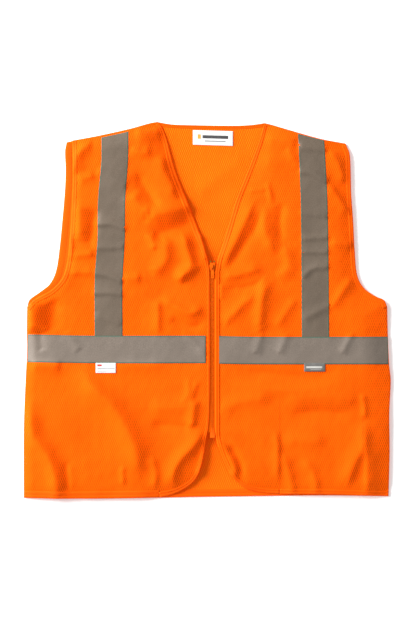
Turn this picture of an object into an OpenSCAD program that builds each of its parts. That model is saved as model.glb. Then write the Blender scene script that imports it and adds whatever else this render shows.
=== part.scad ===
// High visibility mesh vest with a zip front, lying flat on its back.
// X runs across the vest, +Y towards the neck, +Z up from the surface it lies on.
// "Right" and "left" are the wearer's, so the right front is on the -X side.

/* [Garment] */
// Width of the vest across the chest
vest_w = 677; // [600:1:760]
// Length from the neck points to the hem
vest_l = 697; // [640:1:780]
// Distance of each shoulder tip from the middle
shoulder_half = 261; // [230:1:280]
// Drop of the shoulder tip below the neck point
shoulder_drop = 39; // [20:1:60]
// Width of the neck between the neck points
neck_w = 196; // [170:1:220]
// Height of the underarm corners above the middle of the vest
underarm_y = 14; // [-20:1:40]
// Height of the fabric front above the fabric back
front_z = 13; // [12:0.5:18]
// Thickness of the mesh fabric
fabric_t = 1.0; // [0.6:0.1:1.4]

/* [Front opening] */
// Offset of the zip from the middle of the vest, as the fronts lie
zip_x = 10; // [0:1:14]
// Height at which the neckline meets the zip
vee_y = 72; // [40:1:110]
// Height at which the front edges start to curve away from the zip
curve_y = -238; // [-260:1:-200]
// Clear width between the two bound front edges
zip_gap = 10.4; // [10:0.1:12]
// Rise of the back hem to the front hem
front_hem_rise = 6; // [3:1:12]

/* [Trim] */
// Width of the reflective tape
tape_w = 50.8; // [40:0.1:60]
// Thickness of the reflective tape
tape_t = 0.5; // [0.4:0.1:0.6]
// Lower edge of the waist tape
waist_y = -96; // [-130:1:-60]
// Width of the binding on the edges
binding_w = 10; // [8:0.5:14]
// Thickness of one layer of binding
binding_t = 0.5; // [0.3:0.1:0.6]
// Width of the inside pocket
pocket_w = 155; // [120:1:170]
// Depth of the inside pocket
pocket_l = 172; // [120:1:180]

/* [Zip] */
// Width of one row of coil
coil_w = 2.95; // [2.5:0.05:3]
// Height of the coil
coil_h = 2.2; // [2:0.1:2.4]
// Width of each zip tape
zip_tape_w = 13; // [10:0.5:16]
// Length of the slider
slider_l = 14.8; // [12:0.1:16]
// Length of the pull tab from its pivot
pull_l = 22; // [16:1:26]

/* [Labels] */
// Width and height of the neck label
neck_label = [74, 27]; // [20:1:90]
// Width and height of the tab under the right waist tape
right_tab = [37, 18.5]; // [10:0.5:50]
// Width and height of the tab under the left waist tape
left_tab = [39, 16]; // [10:0.5:50]

/* [Hidden] */

half_w = vest_w / 2;
half_l = vest_l / 2;
eps = 0.01;
// Layers, from the surface up
back_z = tape_t;
back_top = back_z + fabric_t;
front_top = front_z + fabric_t;
// Outline
neck_mid = 5.5;
neck_edge_y = half_l - 7;
neck_y = half_l;
tip_y = half_l - shoulder_drop;
hem_y = -half_l + binding_t;
front_hem_y = -half_l + front_hem_rise + binding_t;
seam_w = 2.5;
neck_corner = 14;
neck_binding_w = 7;
curve_steps = 10;
vee_steps = 6;
// How far the right front's armhole edge lies inside the back's
front_armhole_cut = 15;
// The fabric folds back along a line below each neck point
fold_gap = 0.8;
// Tapes
tape_lean = 13;
shoulder_clear = 3;
right_tape_x = -183;
left_tape_x = 199;
waist_top = waist_y + tape_w;
tape_end_x = half_w - seam_w;
flap_tape_in = zip_gap / 2 + binding_w - binding_t;
// Zip
zip_tape_t = 0.6;
zip_z = front_z - binding_t - zip_tape_t;
zip_tape_top = vee_y + 12;
coil_half_gap = 0.05;
coil_z = zip_z - 0.4;
stop_x = 3.6;
stop_size = [2.2, 2.6, 2];
stop_foot = 0.7;
stop_wall = 0.6;
stop_gap = 0.3;
coil_top_y = vee_y + 7;
coil_foot_gap = 0.2;
slider_y = vee_y + 2;
box_top_y = curve_y + 13;
box_l = 9.5;
box_w = 8.8;
box_h = 4.1;
box_wall = 0.3;
pin_w = 2.2;
pin_h = 2.0;
pin_rise = 8;
pin_depth = 7;
pin_gap = 0.3;
pin_z = coil_z + 0.1;
pin_flange = 0.5;
slider_w = 9.2;
channel_w = 6.8;
slider_z = 10.3;
slider_plate = 1.1;
channel_h = 2.6;
slider_top = slider_z + 2 * slider_plate + channel_h;
slot_clear = 0.2;
wedge_y = 9.6;
wedge_half = 1.5;
bail_w = 2;
bail_y = 4;
bail_l = 6.4;
bail_h = 2.75;
bail_bar = 1;
bail_hole_h = 1.85;
pivot_r = 0.55;
pivot_y = slider_y + 7.2;
pivot_z = slider_top + 0.9;
pull_t = 1.1;
pull_half = 2.7;
pull_hole_r = 1.2;
pull_hole_up = 3.6;
arm_x = 2.2;
arm_w = 0.8;
arm_l = 6.4;
// Pocket
pocket_x = 133;
pocket_y = -330;
pocket_z = 7.2;
pocket_t = 0.8;
pocket_seam = 1.5;
pocket_mouth_l = 6;
pocket_mouth_lip = 0.2;
// Labels
label_t = 0.5;
label_gap = 0.15;
tab_drop = 0.6;
neck_label_drop = 8;
right_tab_x = -186.5;
left_tab_x = 198.5;
neck_label_x = 11;

orange = [0.98, 0.40, 0.03];
dark_orange = [0.88, 0.33, 0.02];
silver = [0.54, 0.49, 0.44];
white = [0.90, 0.89, 0.90];

function flip(p) = [for (i = [len(p) - 1:-1:0]) p[i]];
function mirror_x(p) = [for (q = p) [-q[0], q[1]]];
function side_of(p, s) = s > 0 ? p : mirror_x(p);
function unit(v) = v / norm(v);
function bezier(a, b, c, d, n) = [for (i = [0:n]) let (t = i / n, u = 1 - t)
  u * u * u * a + 3 * u * u * t * b + 3 * u * t * t * c + t * t * t * d];
// Direction of a path at point i, and the path moved d to its left
function heading(p, i) = unit(p[min(i + 1, len(p) - 1)] - p[max(i - 1, 0)]);
function beside(p, d) = [for (i = [0:len(p) - 1]) let (h = heading(p, i))
  p[i] + d * [-h[1], h[0]]];
// Strip along a path, from d0 to d1 on its left
function strip(p, d0, d1) = concat(beside(p, d0), flip(beside(p, d1)));

// Armhole edge from the underarm corner to the shoulder tip, moved inwards by "inset"
function armhole(inset) = concat(
  bezier([half_w - 6.5 - inset / 4, underarm_y - inset / 4],
    [half_w - 34 - inset / 4, underarm_y + 12 - inset / 2],
    [half_w - 62 - inset, underarm_y + 28], [half_w - 66 - inset, underarm_y + 88], curve_steps),
  [[shoulder_half + 4 - inset, tip_y - 60], [shoulder_half - inset, tip_y - 5]]);
// Side seam from the hem up to the underarm
side_line = [[half_w, hem_y], [half_w, underarm_y - 140], [half_w - 5.5, underarm_y]];
function neck_point(s) = [neck_mid + s * neck_w / 2, neck_y];
function fold_x(s) = neck_point(s)[0] + s * 0.5;
// Height of the shoulder line at x, and its outer end
function shoulder_y(s, x) = neck_y - shoulder_drop * (x * s - neck_point(s)[0] * s)
  / (shoulder_half - 4 - neck_point(s)[0] * s);
function shoulder_tip(s, inset) = let (x = s * (shoulder_half - 4 - inset)) [x, shoulder_y(s, x)];

// Front edge of one flap, from the neck point down the neckline and zip to the hem
function front_edge(s) = let (
    x = zip_x + s * zip_gap / 2,
    n = neck_point(s) - [s * 1, 2])
  concat(
    [n],
    bezier(n - [s * 20, 68], [x + s * 18, vee_y + 60], [x + s * 3, vee_y + 24], [x, vee_y - 8], vee_steps),
    bezier([x, curve_y], [x + s * 8, curve_y - 46], [x + s * 24, front_hem_y + 3],
      [fold_x(s) - s * 6, front_hem_y], curve_steps));

// Whole fabric outlines
function back_outline() = concat(
  side_line, armhole(0), [shoulder_tip(1, 0)],
  [neck_point(1), [neck_point(1)[0] - neck_corner, neck_edge_y],
    [neck_point(-1)[0] + neck_corner, neck_edge_y], neck_point(-1)],
  [shoulder_tip(-1, 0)], mirror_x(flip(armhole(0))), mirror_x(flip(side_line)));
// The right front's armhole is drawn in from the back's; the left front covers the back
function front_armhole_inset(s) = s < 0 ? front_armhole_cut : 0;
function front_side_outline(s) = concat(
  side_of([[half_w, front_hem_y], side_line[1], side_line[2]], s),
  side_of(armhole(front_armhole_inset(s)), s),
  [shoulder_tip(s, front_armhole_inset(s))],
  [[fold_x(s) + s * fold_gap, neck_y - 1.5], [fold_x(s) + s * fold_gap, front_hem_y]]);
function flap_outline(s) = concat(
  front_edge(s), [[fold_x(s) - s * fold_gap, front_hem_y], [fold_x(s) - s * fold_gap, neck_y - 6]]);

module slab(points, z, t) {
  translate([0, 0, z]) linear_extrude(t) polygon(points);
}

module fabric(points, z) {
  slab(points, z, fabric_t);
}

// Binding folded round an edge: a strip with the fabric's thickness cut out of it
module binding(path, d_out, d_in, outline, z) {
  difference() {
    slab(strip(path, d_out, d_in), z - binding_t, fabric_t + 2 * binding_t);
    fabric(outline, z);
  }
}

// Length of reflective tape with its upper end cut along the shoulder
module shoulder_tape(s, x, z) {
  x0 = x - tape_w / 2;
  x1 = x + tape_w / 2;
  lean = s * tape_lean;
  top0 = shoulder_y(s, x0 - lean) - shoulder_clear;
  top1 = shoulder_y(s, x1 - lean) - shoulder_clear;
  points = [[x0, waist_top], [x1, waist_top], [x1 - lean, top1], [x0 - lean, top0]];
  color(silver) slab(points, z, tape_t);
}

module waist_tape(x0, x1, z) {
  color(silver) translate([x0, waist_y, z]) cube([x1 - x0, tape_w, tape_t]);
}

module back_panel() {
  color(orange) fabric(back_outline(), back_z);
}

module front_side_panel(s) {
  color(orange) fabric(front_side_outline(s), front_z);
}
module right_front_panel() { front_side_panel(-1); }
module left_front_panel() { front_side_panel(1); }

// Joined edges of the front and back
module seam_wall(points) {
  color(dark_orange) slab(points, back_top, front_z - back_top);
}
module side_seam(s) {
  inner = [for (q = side_line) [q[0] - seam_w, q[1]]];
  outer = [[half_w, front_hem_y], side_line[1], side_line[2]];
  seam_wall(side_of(concat(outer, flip([[inner[0][0], front_hem_y], inner[1], inner[2]])), s));
}
module right_side_seam() { side_seam(-1); }
module left_side_seam() { side_seam(1); }
module shoulder_seam(s) {
  tip = shoulder_tip(s, front_armhole_cut);
  x0 = fold_x(s) + s * 8;
  seam_wall(strip([[x0, shoulder_y(s, x0) - 0.5], tip - [0, 0.5]], 0, -s * seam_w));
}
module right_shoulder_seam() { shoulder_seam(-1); }
module left_shoulder_seam() { shoulder_seam(1); }

module back_neck_binding() {
  edge = [[neck_point(1)[0] - neck_corner, neck_edge_y],
    [neck_point(-1)[0] + neck_corner, neck_edge_y]];
  color(dark_orange) binding(edge, -binding_t, neck_binding_w, back_outline(), back_z);
}

// Binding of a whole armhole: along the back, along the front, and joined at both ends
module armhole_binding(s) {
  inset = front_armhole_inset(s);
  back_path = side_of(armhole(0), s);
  front_path = side_of(armhole(inset), s);
  d_out = -s * binding_t;
  d_in = s * (binding_w - binding_t);
  color(dark_orange) {
    binding(back_path, d_out, d_in, back_outline(), back_z);
    binding(front_path, d_out, d_in, front_side_outline(s), front_z);
  }
}
module right_armhole_binding() { armhole_binding(-1); }
module left_armhole_binding() { armhole_binding(1); }

// Straight hem, clear of the side seams
hem_half = half_w - seam_w;

module hem(x0, x1, y, outline, z) {
  color(dark_orange) binding([[x0, y], [x1, y]], -binding_t, binding_w - binding_t, outline, z);
}
module back_hem_binding() { hem(-hem_half, hem_half, hem_y, back_outline(), back_z); }
module right_hem_binding() {
  hem(-hem_half, fold_x(-1) - fold_gap, front_hem_y, front_side_outline(-1), front_z);
}
module left_hem_binding() {
  hem(fold_x(1) + fold_gap, hem_half, front_hem_y, front_side_outline(1), front_z);
}

module right_vertical_tape_front() { shoulder_tape(-1, right_tape_x, front_top); }
module left_vertical_tape_front() { shoulder_tape(1, left_tape_x, front_top); }
module right_vertical_tape_back() { shoulder_tape(-1, right_tape_x, 0); }
module left_vertical_tape_back() { shoulder_tape(1, left_tape_x, 0); }

module waist_tape_back() { waist_tape(-tape_end_x, tape_end_x, 0); }
module right_waist_tape_side() { waist_tape(-tape_end_x, fold_x(-1) - fold_gap, front_top); }
module left_waist_tape_side() { waist_tape(fold_x(1) + fold_gap, tape_end_x, front_top); }
module right_waist_tape_front() {
  waist_tape(fold_x(-1) + fold_gap, zip_x - flap_tape_in, front_top);
}
module left_waist_tape_front() {
  waist_tape(zip_x + flap_tape_in, fold_x(1) - fold_gap, front_top);
}

// Patch pocket inside the left front, open at the top
module inner_pocket() {
  color(orange) difference() {
    translate([pocket_x, pocket_y, pocket_z]) cube([pocket_w, pocket_l, front_z - pocket_z]);
    translate([pocket_x + pocket_seam, pocket_y + pocket_seam, pocket_z + pocket_t])
      cube([pocket_w - 2 * pocket_seam, pocket_l, front_z - pocket_z]);
  }
}
module pocket_mouth_binding() {
  color(dark_orange)
    translate([pocket_x + pocket_seam, pocket_y + pocket_l, pocket_z - pocket_mouth_lip])
      cube([pocket_w - 2 * pocket_seam, pocket_mouth_l, pocket_t + pocket_mouth_lip]);
}

module flap_panel(s) {
  color(orange) fabric(flap_outline(s), front_z);
}
module right_flap_panel() { flap_panel(-1); }
module left_flap_panel() { flap_panel(1); }

module front_edge_binding(s) {
  x_fold = fold_x(s) - s * fold_gap;
  path = concat(front_edge(s), [[x_fold, front_hem_y]]);
  color(dark_orange) difference() {
    binding(path, -s * binding_t, s * (binding_w - binding_t), flap_outline(s), front_z);
    translate([s > 0 ? x_fold : x_fold - half_w, -half_l, 0]) cube([half_w, vest_l, 2 * front_z]);
  }
}
module right_front_edge_binding() { front_edge_binding(-1); }
module left_front_edge_binding() { front_edge_binding(1); }

// Woven tape of the zip, sewn under the bound front edge
module zip_tape(s, y0) {
  x0 = zip_x + s * (coil_w + coil_half_gap);
  x1 = x0 + s * zip_tape_w;
  color(orange) translate([min(x0, x1), y0, zip_z])
    cube([zip_tape_w, zip_tape_top - y0, zip_tape_t]);
}
module right_zip_tape() { zip_tape(-1, box_top_y + pin_gap); }
module left_zip_tape() { zip_tape(1, box_top_y + pin_gap); }

// Outer shape of one row of coil
module zip_coil(s) {
  y0 = box_top_y + pin_rise + coil_foot_gap;
  x0 = zip_x + (s > 0 ? coil_half_gap : -coil_w - coil_half_gap);
  color(orange) translate([x0, y0, coil_z]) cube([coil_w, coil_top_y - y0, coil_h]);
}
module right_zip_coil() { zip_coil(-1); }
module left_zip_coil() { zip_coil(1); }

// Crimped stop on the tape just above the slider
module top_stop(s) {
  x0 = zip_x + s * stop_x - stop_size[0] / 2;
  color(dark_orange) translate([x0, slider_y + slider_l + stop_gap, zip_z - stop_foot])
    difference() {
      cube(stop_size);
      translate([s > 0 ? stop_wall : -1, -1, stop_foot])
        cube([stop_size[0] - stop_wall + 1, stop_size[1] + 2, zip_tape_t]);
    }
}
module right_top_stop() { top_stop(-1); }
module left_top_stop() { top_stop(1); }

// Pins at the foot of the zip: the right one pulls out of the box, the left one stays
module foot_pin(s) {
  x0 = zip_x + (s > 0 ? pin_gap : -pin_gap - pin_w);
  color(dark_orange) {
    translate([x0, box_top_y - pin_depth, pin_z]) cube([pin_w, pin_depth + pin_rise, pin_h]);
    translate([s > 0 ? x0 + pin_w : x0 - pin_flange, box_top_y + pin_gap, zip_z])
      cube([pin_flange, pin_rise - pin_flange, zip_tape_t]);
  }
}
module insertion_pin() { foot_pin(-1); }
module retainer_pin() { foot_pin(1); }

// Box that holds both pins, with a clearance of box_wall round them
module retainer_box() {
  box_z = slider_z + 0.3;
  pocket_half = pin_gap + pin_w + box_wall;
  color(dark_orange) translate([zip_x - box_w / 2, box_top_y - box_l, box_z])
    difference() {
      cube([box_w, box_l, box_h]);
      translate([box_w / 2 - pocket_half, box_l - pin_depth - eps, pin_z - box_z - box_wall])
        cube([2 * pocket_half, pin_depth + 1, pin_h + 2 * box_wall]);
    }
}

// Slider outline: narrow at the foot, with shoulders towards the neck
slider_side = [[3.9, 0], [4.3, 4], [slider_w / 2, 9.5], [slider_w / 2, 12.6], [3.4, slider_l],
  [1, slider_l - 1]];
slider_outline = concat(slider_side, mirror_x(flip(slider_side)));

module slider_body() {
  difference() {
    linear_extrude(slider_top - slider_z) polygon(slider_outline);
    translate([-channel_w / 2, -1, slider_plate]) cube([channel_w, slider_l + 2, channel_h]);
    translate([-slider_w, -1, zip_z - slider_z - slot_clear])
      cube([slider_w * 2, slider_l + 2, zip_tape_t + 2 * slot_clear]);
  }
  // Wedge between the plates that parts the two rows of coil
  translate([0, 0, slider_plate - eps]) linear_extrude(channel_h + 2 * eps)
    polygon([[0, wedge_y], [wedge_half, slider_l - 1], [-wedge_half, slider_l - 1]]);
}

// Bridge on the slider that holds the pull tab
module bail() {
  translate([-bail_w / 2, bail_y, slider_top - slider_z - eps]) difference() {
    cube([bail_w, bail_l, bail_h]);
    translate([-1, bail_bar, -1])
      cube([bail_w + 2, bail_l - 2 * bail_bar, bail_hole_h + 1]);
  }
}

module zip_slider() {
  color(orange) translate([zip_x, slider_y, slider_z]) {
    slider_body();
    bail();
  }
}

// Half of the pull tab's blade, from the arms to its foot
pull_side = [[arm_x, -arm_l + 0.1], [pull_half, -12], [pull_half, -pull_l + 1],
  [pull_half - 1, -pull_l]];

module zip_pull_tab() {
  color(orange) translate([zip_x, pivot_y, pivot_z]) {
    translate([-arm_x, 0, 0]) rotate([0, 90, 0]) cylinder(h = 2 * arm_x, r = pivot_r, $fn = 32);
    for (s = [-1, 1])
      translate([s > 0 ? arm_x - arm_w : -arm_x, -arm_l, -pull_t / 2])
        cube([arm_w, arm_l, pull_t]);
    translate([0, 0, -pull_t / 2]) linear_extrude(pull_t) difference() {
      polygon(concat(pull_side, mirror_x(flip(pull_side))));
      translate([0, -pull_l + pull_hole_up]) circle(r = pull_hole_r, $fn = 32);
    }
  }
}

module label(size, x, top_y, z) {
  color(white) translate([x - size[0] / 2, top_y - size[1], z]) cube([size[0], size[1], label_t]);
}
module neck_brand_label() {
  label(neck_label, neck_label_x, neck_edge_y - neck_label_drop, back_top + label_gap);
}
module right_tab_label() {
  label(right_tab, right_tab_x, waist_y - tab_drop, front_top + label_gap);
}
module left_tab_label() {
  label(left_tab, left_tab_x, waist_y - tab_drop, front_top + label_gap);
}

back_panel();
right_front_panel();
left_front_panel();
right_side_seam();
left_side_seam();
right_shoulder_seam();
left_shoulder_seam();
back_neck_binding();
right_armhole_binding();
left_armhole_binding();
back_hem_binding();
right_hem_binding();
left_hem_binding();
right_vertical_tape_front();
left_vertical_tape_front();
right_vertical_tape_back();
left_vertical_tape_back();
waist_tape_back();
right_waist_tape_side();
left_waist_tape_side();
inner_pocket();
pocket_mouth_binding();
right_flap_panel();
left_flap_panel();
right_front_edge_binding();
left_front_edge_binding();
right_waist_tape_front();
left_waist_tape_front();
right_zip_tape();
left_zip_tape();
right_zip_coil();
left_zip_coil();
right_top_stop();
left_top_stop();
insertion_pin();
retainer_pin();
retainer_box();
zip_slider();
zip_pull_tab();
neck_brand_label();
right_tab_label();
left_tab_label();
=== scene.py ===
import math

import bpy
import numpy as np
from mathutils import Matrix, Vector
from mathutils.geometry import delaunay_2d_cdt


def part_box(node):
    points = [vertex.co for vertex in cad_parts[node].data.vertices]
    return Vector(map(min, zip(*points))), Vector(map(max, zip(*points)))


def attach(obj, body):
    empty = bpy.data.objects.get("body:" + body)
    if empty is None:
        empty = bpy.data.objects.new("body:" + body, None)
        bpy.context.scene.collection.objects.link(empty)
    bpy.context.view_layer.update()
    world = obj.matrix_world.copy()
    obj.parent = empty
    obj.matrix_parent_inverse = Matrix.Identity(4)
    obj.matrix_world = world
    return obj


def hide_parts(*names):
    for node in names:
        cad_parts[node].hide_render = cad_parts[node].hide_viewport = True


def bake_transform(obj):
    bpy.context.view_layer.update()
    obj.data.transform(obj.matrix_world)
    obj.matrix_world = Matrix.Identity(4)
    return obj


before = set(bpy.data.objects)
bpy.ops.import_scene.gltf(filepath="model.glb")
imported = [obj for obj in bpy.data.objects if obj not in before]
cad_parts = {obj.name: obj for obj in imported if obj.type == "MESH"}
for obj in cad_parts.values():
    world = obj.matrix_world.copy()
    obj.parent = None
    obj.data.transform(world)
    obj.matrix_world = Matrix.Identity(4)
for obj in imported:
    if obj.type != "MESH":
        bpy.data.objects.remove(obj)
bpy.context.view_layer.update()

# Shapes are worked out in millimetres, and a mesh is made in metres.
# X runs to the wearer's left, Y to the neck and Z up from the surface that the vest lies on.
MM = 0.001
PATH_STEP = 3.5
CLOTH_STEP = 3.6
CLOTH_THICK = 0.7


def node_box(node):
    """A CAD node's lowest and highest corners, in millimetres."""
    low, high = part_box(node)
    return np.array(low) / MM, np.array(high) / MM


# ---- paths

def smooth(points):
    """Points about PATH_STEP apart along a smooth curve through the given ones."""
    knots = [np.array(point, float) for point in points]
    knots = [2 * knots[0] - knots[1]] + knots + [2 * knots[-1] - knots[-2]]
    path = []
    for before, start, end, after in zip(knots, knots[1:], knots[2:], knots[3:]):
        span = np.linalg.norm(end - start)
        leave = (end - before) * span / (span + np.linalg.norm(start - before))
        arrive = (after - start) * span / (span + np.linalg.norm(after - end))
        count = max(1, round(span / PATH_STEP))
        for t in np.arange(count) / count:
            path.append(
                (2 * t**3 - 3 * t**2 + 1) * start
                + (t**3 - 2 * t**2 + t) * leave
                + (3 * t**2 - 2 * t**3) * end
                + (t**3 - t**2) * arrive
            )
    path.append(knots[-2])
    return np.array(path)


def straight(start, end):
    """Points about PATH_STEP apart along a straight line."""
    count = max(1, round(math.dist(start, end) / PATH_STEP))
    return np.linspace(start, end, count + 1)


def joined(*paths):
    """One path through several, without the points that repeat where they meet."""
    points = np.vstack(paths)
    keep = [0]
    for number in range(1, len(points)):
        if np.linalg.norm(points[number] - points[keep[-1]]) > PATH_STEP / 4:
            keep.append(number)
    return points[keep]


def travelled(path):
    """How far along a path each of its points is."""
    steps = np.linalg.norm(np.diff(path, axis=0), axis=1)
    return np.concatenate([[0], np.cumsum(steps)])


def side_normals(path):
    """The direction to the left of travel at each point of a path."""
    tangent = np.gradient(path, axis=0)
    tangent /= np.linalg.norm(tangent, axis=1)[:, None]
    return np.stack([-tangent[:, 1], tangent[:, 0]], axis=1)


def nearest(path, x, y):
    """Each point's distance from a path, the share of the path before there, and if it is on the left."""
    gap = (x[:, None] - path[:, 0]) ** 2 + (y[:, None] - path[:, 1]) ** 2
    index = gap.argmin(axis=1)
    normal = side_normals(path)[index]
    on_left = (x - path[index, 0]) * normal[:, 0] + (y - path[index, 1]) * normal[:, 1] > 0
    return np.sqrt(gap[np.arange(len(x)), index]), index / (len(path) - 1), on_left


def gap_to(paths, x, y):
    """Each point's distance from the nearest of several paths."""
    return np.min([nearest(path, x, y)[0] for path in paths], axis=0)


# ---- outlines

ZIP_X = 10
ZIP_TOP = 70
ZIP_FOOT = -226

RIGHT_SIDE = smooth([(-338, -346), (-338, -220), (-336, -158), (-332, -69), (-332.5, -40), (-332, 6)])
LEFT_SIDE = smooth([
    (335, -343), (337, -260), (336.5, -188), (339, -129), (336, -99), (333.5, -40), (332.6, 6),
])
RIGHT_BACK_ARMHOLE = smooth([
    (-332, 6), (-328, 19), (-308, 34), (-290, 49), (-279, 72), (-273, 108), (-267, 167), (-262, 227),
    (-261, 262), (-262, 295), (-259, 311),
])
RIGHT_FRONT_ARMHOLE = smooth([
    (-332, 6), (-316, 22), (-288, 37), (-267, 59), (-260, 80), (-254, 127), (-249, 210), (-247.5, 270),
    (-249, 313.5),
])
LEFT_ARMHOLE = smooth([
    (332.6, 6), (327, 18.5), (312, 25.5), (290, 41), (277.5, 64), (272.7, 108), (269.5, 167), (266, 215),
    (265, 256), (263, 290), (256, 308),
])
RIGHT_SHOULDER = smooth([(-249, 313.5), (-203, 322), (-144, 335), (-104, 346), (-91, 348)])
RIGHT_SHOULDER_TIP = smooth([(-259, 311), (-249, 313.5)])
LEFT_SHOULDER = smooth([(256, 308), (211, 316.5), (152, 333), (120, 342.5), (106, 346)])
BACK_NECK = smooth([(-91, 348), (-68, 344), (-35, 342.5), (48, 341.3), (80, 342.5), (106, 346)])
BACK_HEM = smooth([(-338, -346), (-200, -347.5), (0, -344), (220, -341.5), (335, -343)])
RIGHT_HEM = smooth([(-338, -346), (-250, -347), (-87, -345)])
LEFT_HEM = smooth([(335, -343), (220, -339), (134, -338.5)])

RIGHT_OPENING = joined(
    smooth([
        (-91, 348), (-84, 340), (-75.5, 319), (-59.5, 262), (-43.5, 220), (-26.8, 178), (-9, 130), (2, 92),
        (4.7, ZIP_TOP),
    ]),
    smooth([
        (4.7, ZIP_TOP), (4.7, -150), (2.5, -212), (-1.5, -236), (-4.5, -257), (-9, -281), (-17, -304),
        (-28, -319), (-46, -331.5), (-65, -340), (-87, -345),
    ]),
)
LEFT_OPENING = joined(
    smooth([
        (106, 346), (98.4, 319), (77, 262), (54.6, 206), (46, 178), (31.5, 130), (20, 95), (15.3, ZIP_TOP),
    ]),
    smooth([
        (15.3, ZIP_TOP), (15.5, -200), (16.2, -232), (22, -255), (31.5, -280), (41.5, -299.5), (56, -317.5),
        (77, -330), (103, -336.5), (134, -338.5),
    ]),
)

RIGHT_FRONT = joined(
    RIGHT_HEM, RIGHT_OPENING[::-1], RIGHT_SHOULDER[::-1], RIGHT_FRONT_ARMHOLE[::-1], RIGHT_SIDE[::-1],
)
LEFT_FRONT = joined(LEFT_SIDE, LEFT_ARMHOLE, LEFT_SHOULDER, LEFT_OPENING, LEFT_HEM[::-1])
BACK = joined(
    BACK_HEM, LEFT_SIDE, LEFT_ARMHOLE, LEFT_SHOULDER, BACK_NECK[::-1], RIGHT_SHOULDER[::-1],
    RIGHT_SHOULDER_TIP[::-1], RIGHT_BACK_ARMHOLE[::-1], RIGHT_SIDE[::-1],
)

# ---- how the cloth lies

# Each fold is its height, below 0 for a valley, how far it reaches to the left and right of travel,
# and the points of its crest or valley.
RIGHT_FOLDS = [
    (7, 26, 6, (-325, 25), (-325, -10), (-325, -45)), (-4, 14, 20, (-280, 25), (-285, -10), (-290, -45)),
    (3.5, 5, 16, (-320, 25), (-290, 45), (-265, 65), (-255, 90)),
    (5, 22, 15, (-120, 170), (-85, 180), (-45, 190), (-15, 200)),
    (-3.5, 13, 12, (-110, 135), (-65, 150), (-20, 165)), (2.5, 8, 8, (-105, 145), (-95, 110)),
    (4.5, 8, 13, (-45, 150), (-35, 110), (-30, 85), (-45, 65), (-55, 45)),
    (4, 13, 16, (-80, 140), (-75, 105), (-85, 80), (-110, 70)), (2.5, 5, 8, (-15, 155), (-5, 110), (0, 75)),
    (3.2, 12, 8, (-90, 25), (-55, 5), (-30, -5), (0, 10)), (-2, 8, 9, (-70, -15), (-30, -30), (0, -20)),
    (2.8, 9, 6, (-60, 55), (-30, 70), (-10, 90)),
    (4, 9, 18, (-85, 295), (-80, 260), (-65, 230), (-60, 200)),
    (3, 8, 17, (-135, 330), (-110, 330), (-80, 335)), (3.5, 12, 16, (-140, 220), (-125, 195), (-105, 175)),
    (-3, 10, 10, (-135, 255), (-110, 220), (-90, 185)), (3.6, 14, 9, (-235, 205), (-235, 160), (-235, 125)),
    (-2.5, 8, 10, (-205, 195), (-210, 150), (-220, 110)), (2.5, 5, 6, (-250, 145), (-250, 90)),
    (2.2, 7, 6, (-250, 100), (-205, 105)), (2.2, 9, 6, (-255, 70), (-205, 70)),
    (3.6, 12, 8, (-210, 315), (-240, 285), (-245, 245)), (2, 8, 8, (-240, 240), (-205, 250)),
    (2.2, 6, 10, (-90, 25), (-90, -50)), (2.2, 8, 9, (-155, 60), (-120, 60)),
    (2.4, 9, 9, (-140, 300), (-120, 290), (-100, 295)), (3, 8, 12, (-330, -100), (-265, -100)),
    (7.5, 21, 21, (-235, -90), (-210, -140), (-175, -175), (-145, -225), (-130, -265), (-125, -330)),
    (2.4, 8, 9, (-105, -265), (-95, -300), (-100, -335)), (1.6, 4, 5, (-155, -285), (-155, -325)),
    (5.5, 17, 14, (-330, -150), (-320, -230), (-295, -265), (-280, -305), (-275, -370)),
    (-1.8, 6, 9, (-260, -275), (-255, -315), (-255, -340)), (1.4, 7, 5, (-255, -280), (-250, -335)),
    (2.2, 14, 12, (-110, -180), (-65, -180), (-20, -175)), (-1.8, 8, 12, (-105, -210), (-25, -215)),
    (3.6, 8, 10, (-20, -160), (-25, -190), (-30, -220)),
    (4.2, 9, 13, (-5, -215), (-25, -250), (-45, -270), (-60, -295), (-65, -335)),
    (2.6, 5, 6, (-5, -245), (-10, -280), (-20, -310)), (1.4, 5, 7, (-35, -120), (-35, -155), (-50, -175)),
    (1.6, 5, 8, (-15, -125), (-25, -150), (-30, -180)), (2.0, 8, 14, (-205, -100), (-65, -100)),
]
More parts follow.
